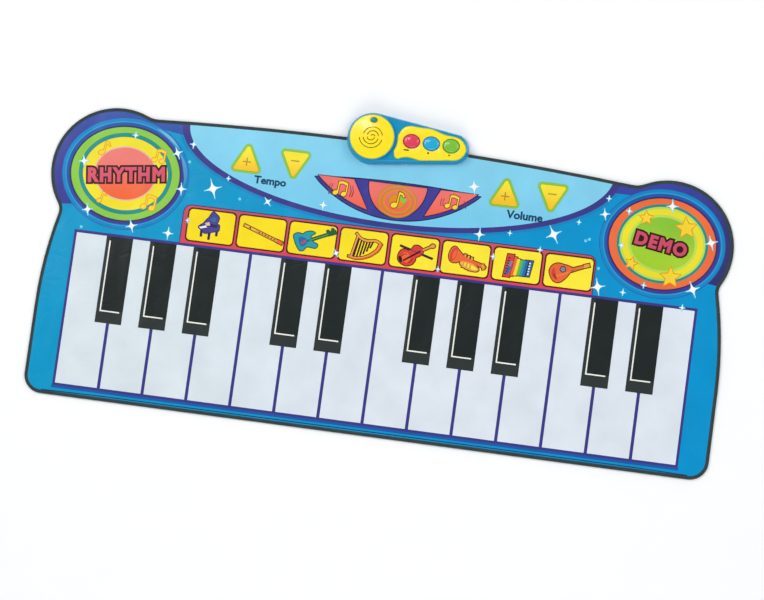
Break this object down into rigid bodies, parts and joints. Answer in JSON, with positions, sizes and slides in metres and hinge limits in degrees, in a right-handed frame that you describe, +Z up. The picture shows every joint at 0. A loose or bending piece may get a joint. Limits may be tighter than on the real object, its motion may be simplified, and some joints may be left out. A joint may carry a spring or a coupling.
{
  "type": "toy electronic keyboard",
  "caption": "Padded floor keyboard mat with piano keys, printed rhythm, tempo, volume and instrument pads, and a battery sound module on its far edge.",
  "frame": {"origin": "centre of the mat's underside, on the floor", "axes": "+X along the keys from low notes to high, +Y away from the player towards the sound module, +Z up from the floor"},
  "size_m": [1.8034, 0.842, 0.0456],
  "materials": {
    "underside_vinyl": "satin",
    "clear_film": "satin",
    "foam": "matte",
    "blue_vinyl": "gloss",
    "binding_tape": "satin",
    "white_vinyl": "gloss",
    "black_vinyl": "gloss",
    "yellow_vinyl": "gloss",
    "green_vinyl": "gloss",
    "orange_vinyl": "gloss",
    "coral_vinyl": "gloss",
    "blue_plastic": "gloss",
    "yellow_plastic": "gloss",
    "red_plastic": "gloss",
    "sky_plastic": "gloss",
    "green_plastic": "gloss",
    "teal_plastic": "gloss",
    "black_plastic": "matte",
    "board": "satin",
    "silicone": "matte",
    "battery_can": "satin",
    "screw_steel": "satin"
  },
  "bodies": {
    "mat": {"base_sheet": "underside_vinyl", "switch_film": "clear_film", "foam_spacer": "foam", "cover_sheet": "blue_vinyl", "edge_binding": "binding_tape", "lower_case": "blue_plastic", "upper_case": "blue_plastic", "control_panel": "yellow_plastic", "speaker_grille": "yellow_plastic", "speaker": "black_plastic", "circuit_board": "board", "button_membrane": "silicone", "battery_door": "blue_plastic", "batteries": "battery_can", "case_screws": "screw_steel"},
    "white_key_01": {"white_key_01": "white_vinyl"},
    "white_key_02": {"white_key_02": "white_vinyl"},
    "white_key_03": {"white_key_03": "white_vinyl"},
    "white_key_04": {"white_key_04": "white_vinyl"},
    "white_key_05": {"white_key_05": "white_vinyl"},
    "white_key_06": {"white_key_06": "white_vinyl"},
    "white_key_07": {"white_key_07": "white_vinyl"},
    "white_key_08": {"white_key_08": "white_vinyl"},
    "white_key_09": {"white_key_09": "white_vinyl"},
    "white_key_10": {"white_key_10": "white_vinyl"},
    "white_key_11": {"white_key_11": "white_vinyl"},
    "white_key_12": {"white_key_12": "white_vinyl"},
    "white_key_13": {"white_key_13": "white_vinyl"},
    "white_key_14": {"white_key_14": "white_vinyl"},
    "black_key_01": {"black_key_01": "black_vinyl"},
    "black_key_02": {"black_key_02": "black_vinyl"},
    "black_key_03": {"black_key_03": "black_vinyl"},
    "black_key_04": {"black_key_04": "black_vinyl"},
    "black_key_05": {"black_key_05": "black_vinyl"},
    "black_key_06": {"black_key_06": "black_vinyl"},
    "black_key_07": {"black_key_07": "black_vinyl"},
    "black_key_08": {"black_key_08": "black_vinyl"},
    "black_key_09": {"black_key_09": "black_vinyl"},
    "black_key_10": {"black_key_10": "black_vinyl"},
    "piano_pad": {"piano_pad": "yellow_vinyl"},
    "flute_pad": {"flute_pad": "yellow_vinyl"},
    "guitar_pad": {"guitar_pad": "yellow_vinyl"},
    "harp_pad": {"harp_pad": "yellow_vinyl"},
    "violin_pad": {"violin_pad": "yellow_vinyl"},
    "trumpet_pad": {"trumpet_pad": "yellow_vinyl"},
    "accordion_pad": {"accordion_pad": "yellow_vinyl"},
    "mandolin_pad": {"mandolin_pad": "yellow_vinyl"},
    "tempo_up_pad": {"tempo_up_pad": "yellow_vinyl"},
    "tempo_down_pad": {"tempo_down_pad": "yellow_vinyl"},
    "volume_up_pad": {"volume_up_pad": "yellow_vinyl"},
    "volume_down_pad": {"volume_down_pad": "yellow_vinyl"},
    "rhythm_pad": {"rhythm_pad": "green_vinyl"},
    "demo_pad": {"demo_pad": "orange_vinyl"},
    "beat_pad": {"beat_pad": "coral_vinyl"},
    "mode_pad": {"mode_pad": "coral_vinyl"},
    "melody_pad": {"melody_pad": "coral_vinyl"},
    "red_button": {"red_button": "red_plastic"},
    "blue_button": {"blue_button": "sky_plastic"},
    "green_button": {"green_button": "green_plastic"},
    "power_button": {"power_button": "teal_plastic"}
  },
  "joints": [
    {"name": "white_key_01_press", "type": "slide", "parent": "mat", "child": "white_key_01", "axis": [0, 0, -1], "range_m": [0, 0.0022], "stiffness_N_per_m": 1400, "springref_m": -0.0012},
    {"name": "white_key_02_press", "type": "slide", "parent": "mat", "child": "white_key_02", "axis": [0, 0, -1], "range_m": [0, 0.0022], "stiffness_N_per_m": 1400, "springref_m": -0.0012},
    {"name": "white_key_03_press", "type": "slide", "parent": "mat", "child": "white_key_03", "axis": [0, 0, -1], "range_m": [0, 0.0022], "stiffness_N_per_m": 1400, "springref_m": -0.0012},
    {"name": "white_key_04_press", "type": "slide", "parent": "mat", "child": "white_key_04", "axis": [0, 0, -1], "range_m": [0, 0.0022], "stiffness_N_per_m": 1400, "springref_m": -0.0012},
    {"name": "white_key_05_press", "type": "slide", "parent": "mat", "child": "white_key_05", "axis": [0, 0, -1], "range_m": [0, 0.0022], "stiffness_N_per_m": 1400, "springref_m": -0.0012},
    {"name": "white_key_06_press", "type": "slide", "parent": "mat", "child": "white_key_06", "axis": [0, 0, -1], "range_m": [0, 0.0022], "stiffness_N_per_m": 1400, "springref_m": -0.0012},
    {"name": "white_key_07_press", "type": "slide", "parent": "mat", "child": "white_key_07", "axis": [0, 0, -1], "range_m": [0, 0.0022], "stiffness_N_per_m": 1400, "springref_m": -0.0012},
    {"name": "white_key_08_press", "type": "slide", "parent": "mat", "child": "white_key_08", "axis": [0, 0, -1], "range_m": [0, 0.0022], "stiffness_N_per_m": 1400, "springref_m": -0.0012},
    {"name": "white_key_09_press", "type": "slide", "parent": "mat", "child": "white_key_09", "axis": [0, 0, -1], "range_m": [0, 0.0022], "stiffness_N_per_m": 1400, "springref_m": -0.0012},
    {"name": "white_key_10_press", "type": "slide", "parent": "mat", "child": "white_key_10", "axis": [0, 0, -1], "range_m": [0, 0.0022], "stiffness_N_per_m": 1400, "springref_m": -0.0012},
    {"name": "white_key_11_press", "type": "slide", "parent": "mat", "child": "white_key_11", "axis": [0, 0, -1], "range_m": [0, 0.0022], "stiffness_N_per_m": 1400, "springref_m": -0.0012},
    {"name": "white_key_12_press", "type": "slide", "parent": "mat", "child": "white_key_12", "axis": [0, 0, -1], "range_m": [0, 0.0022], "stiffness_N_per_m": 1400, "springref_m": -0.0012},
    {"name": "white_key_13_press", "type": "slide", "parent": "mat", "child": "white_key_13", "axis": [0, 0, -1], "range_m": [0, 0.0022], "stiffness_N_per_m": 1400, "springref_m": -0.0012},
    {"name": "white_key_14_press", "type": "slide", "parent": "mat", "child": "white_key_14", "axis": [0, 0, -1], "range_m": [0, 0.0022], "stiffness_N_per_m": 1400, "springref_m": -0.0012},
    {"name": "black_key_01_press", "type": "slide", "parent": "mat", "child": "black_key_01", "axis": [0, 0, -1], "range_m": [0, 0.0022], "stiffness_N_per_m": 1000, "springref_m": -0.0008},
    {"name": "black_key_02_press", "type": "slide", "parent": "mat", "child": "black_key_02", "axis": [0, 0, -1], "range_m": [0, 0.0022], "stiffness_N_per_m": 1000, "springref_m": -0.0008},
    {"name": "black_key_03_press", "type": "slide", "parent": "mat", "child": "black_key_03", "axis": [0, 0, -1], "range_m": [0, 0.0022], "stiffness_N_per_m": 1000, "springref_m": -0.0008},
    {"name": "black_key_04_press", "type": "slide", "parent": "mat", "child": "black_key_04", "axis": [0, 0, -1], "range_m": [0, 0.0022], "stiffness_N_per_m": 1000, "springref_m": -0.0008},
    {"name": "black_key_05_press", "type": "slide", "parent": "mat", "child": "black_key_05", "axis": [0, 0, -1], "range_m": [0, 0.0022], "stiffness_N_per_m": 1000, "springref_m": -0.0008},
    {"name": "black_key_06_press", "type": "slide", "parent": "mat", "child": "black_key_06", "axis": [0, 0, -1], "range_m": [0, 0.0022], "stiffness_N_per_m": 1000, "springref_m": -0.0008},
    {"name": "black_key_07_press", "type": "slide", "parent": "mat", "child": "black_key_07", "axis": [0, 0, -1], "range_m": [0, 0.0022], "stiffness_N_per_m": 1000, "springref_m": -0.0008},
    {"name": "black_key_08_press", "type": "slide", "parent": "mat", "child": "black_key_08", "axis": [0, 0, -1], "range_m": [0, 0.0022], "stiffness_N_per_m": 1000, "springref_m": -0.0008},
    {"name": "black_key_09_press", "type": "slide", "parent": "mat", "child": "black_key_09", "axis": [0, 0, -1], "range_m": [0, 0.0022], "stiffness_N_per_m": 1000, "springref_m": -0.0008},
    {"name": "black_key_10_press", "type": "slide", "parent": "mat", "child": "black_key_10", "axis": [0, 0, -1], "range_m": [0, 0.0022], "stiffness_N_per_m": 1000, "springref_m": -0.0008},
    {"name": "piano_pad_press", "type": "slide", "parent": "mat", "child": "piano_pad", "axis": [0, 0, -1], "range_m": [0, 0.0022], "stiffness_N_per_m": 800, "springref_m": -0.0008},
    {"name": "flute_pad_press", "type": "slide", "parent": "mat", "child": "flute_pad", "axis": [0, 0, -1], "range_m": [0, 0.0022], "stiffness_N_per_m": 800, "springref_m": -0.0008},
    {"name": "guitar_pad_press", "type": "slide", "parent": "mat", "child": "guitar_pad", "axis": [0, 0, -1], "range_m": [0, 0.0022], "stiffness_N_per_m": 800, "springref_m": -0.0008},
    {"name": "harp_pad_press", "type": "slide", "parent": "mat", "child": "harp_pad", "axis": [0, 0, -1], "range_m": [0, 0.0022], "stiffness_N_per_m": 800, "springref_m": -0.0008},
    {"name": "violin_pad_press", "type": "slide", "parent": "mat", "child": "violin_pad", "axis": [0, 0, -1], "range_m": [0, 0.0022], "stiffness_N_per_m": 800, "springref_m": -0.0008},
    {"name": "trumpet_pad_press", "type": "slide", "parent": "mat", "child": "trumpet_pad", "axis": [0, 0, -1], "range_m": [0, 0.0022], "stiffness_N_per_m": 800, "springref_m": -0.0008},
    {"name": "accordion_pad_press", "type": "slide", "parent": "mat", "child": "accordion_pad", "axis": [0, 0, -1], "range_m": [0, 0.0022], "stiffness_N_per_m": 800, "springref_m": -0.0008},
    {"name": "mandolin_pad_press", "type": "slide", "parent": "mat", "child": "mandolin_pad", "axis": [0, 0, -1], "range_m": [0, 0.0022], "stiffness_N_per_m": 800, "springref_m": -0.0008},
    {"name": "tempo_up_pad_press", "type": "slide", "parent": "mat", "child": "tempo_up_pad", "axis": [0, 0, -1], "range_m": [0, 0.0022], "stiffness_N_per_m": 500, "springref_m": -0.0006},
    {"name": "tempo_down_pad_press", "type": "slide", "parent": "mat", "child": "tempo_down_pad", "axis": [0, 0, -1], "range_m": [0, 0.0022], "stiffness_N_per_m": 500, "springref_m": -0.0006},
    {"name": "volume_up_pad_press", "type": "slide", "parent": "mat", "child": "volume_up_pad", "axis": [0, 0, -1], "range_m": [0, 0.0022], "stiffness_N_per_m": 500, "springref_m": -0.0006},
    {"name": "volume_down_pad_press", "type": "slide", "parent": "mat", "child": "volume_down_pad", "axis": [0, 0, -1], "range_m": [0, 0.0022], "stiffness_N_per_m": 500, "springref_m": -0.0006},
    {"name": "rhythm_pad_press", "type": "slide", "parent": "mat", "child": "rhythm_pad", "axis": [0, 0, -1], "range_m": [0, 0.0022], "stiffness_N_per_m": 1600, "springref_m": -0.0014},
    {"name": "demo_pad_press", "type": "slide", "parent": "mat", "child": "demo_pad", "axis": [0, 0, -1], "range_m": [0, 0.0022], "stiffness_N_per_m": 1600, "springref_m": -0.0014},
    {"name": "beat_pad_press", "type": "slide", "parent": "mat", "child": "beat_pad", "axis": [0, 0, -1], "range_m": [0, 0.0022], "stiffness_N_per_m": 600, "springref_m": -0.0008},
    {"name": "mode_pad_press", "type": "slide", "parent": "mat", "child": "mode_pad", "axis": [0, 0, -1], "range_m": [0, 0.0022], "stiffness_N_per_m": 600, "springref_m": -0.0008},
    {"name": "melody_pad_press", "type": "slide", "parent": "mat", "child": "melody_pad", "axis": [0, 0, -1], "range_m": [0, 0.0022], "stiffness_N_per_m": 600, "springref_m": -0.0008},
    {"name": "red_button_press", "type": "slide", "parent": "mat", "child": "red_button", "axis": [0, 0, -1], "range_m": [0, 0.0015], "stiffness_N_per_m": 700, "springref_m": -0.0012},
    {"name": "blue_button_press", "type": "slide", "parent": "mat", "child": "blue_button", "axis": [0, 0, -1], "range_m": [0, 0.0015], "stiffness_N_per_m": 700, "springref_m": -0.0012},
    {"name": "green_button_press", "type": "slide", "parent": "mat", "child": "green_button", "axis": [0, 0, -1], "range_m": [0, 0.0015], "stiffness_N_per_m": 700, "springref_m": -0.0012},
    {"name": "power_button_press", "type": "slide", "parent": "mat", "child": "power_button", "axis": [0, 0, -1], "range_m": [0, 0.0015], "stiffness_N_per_m": 500, "springref_m": -0.001}
  ]
}
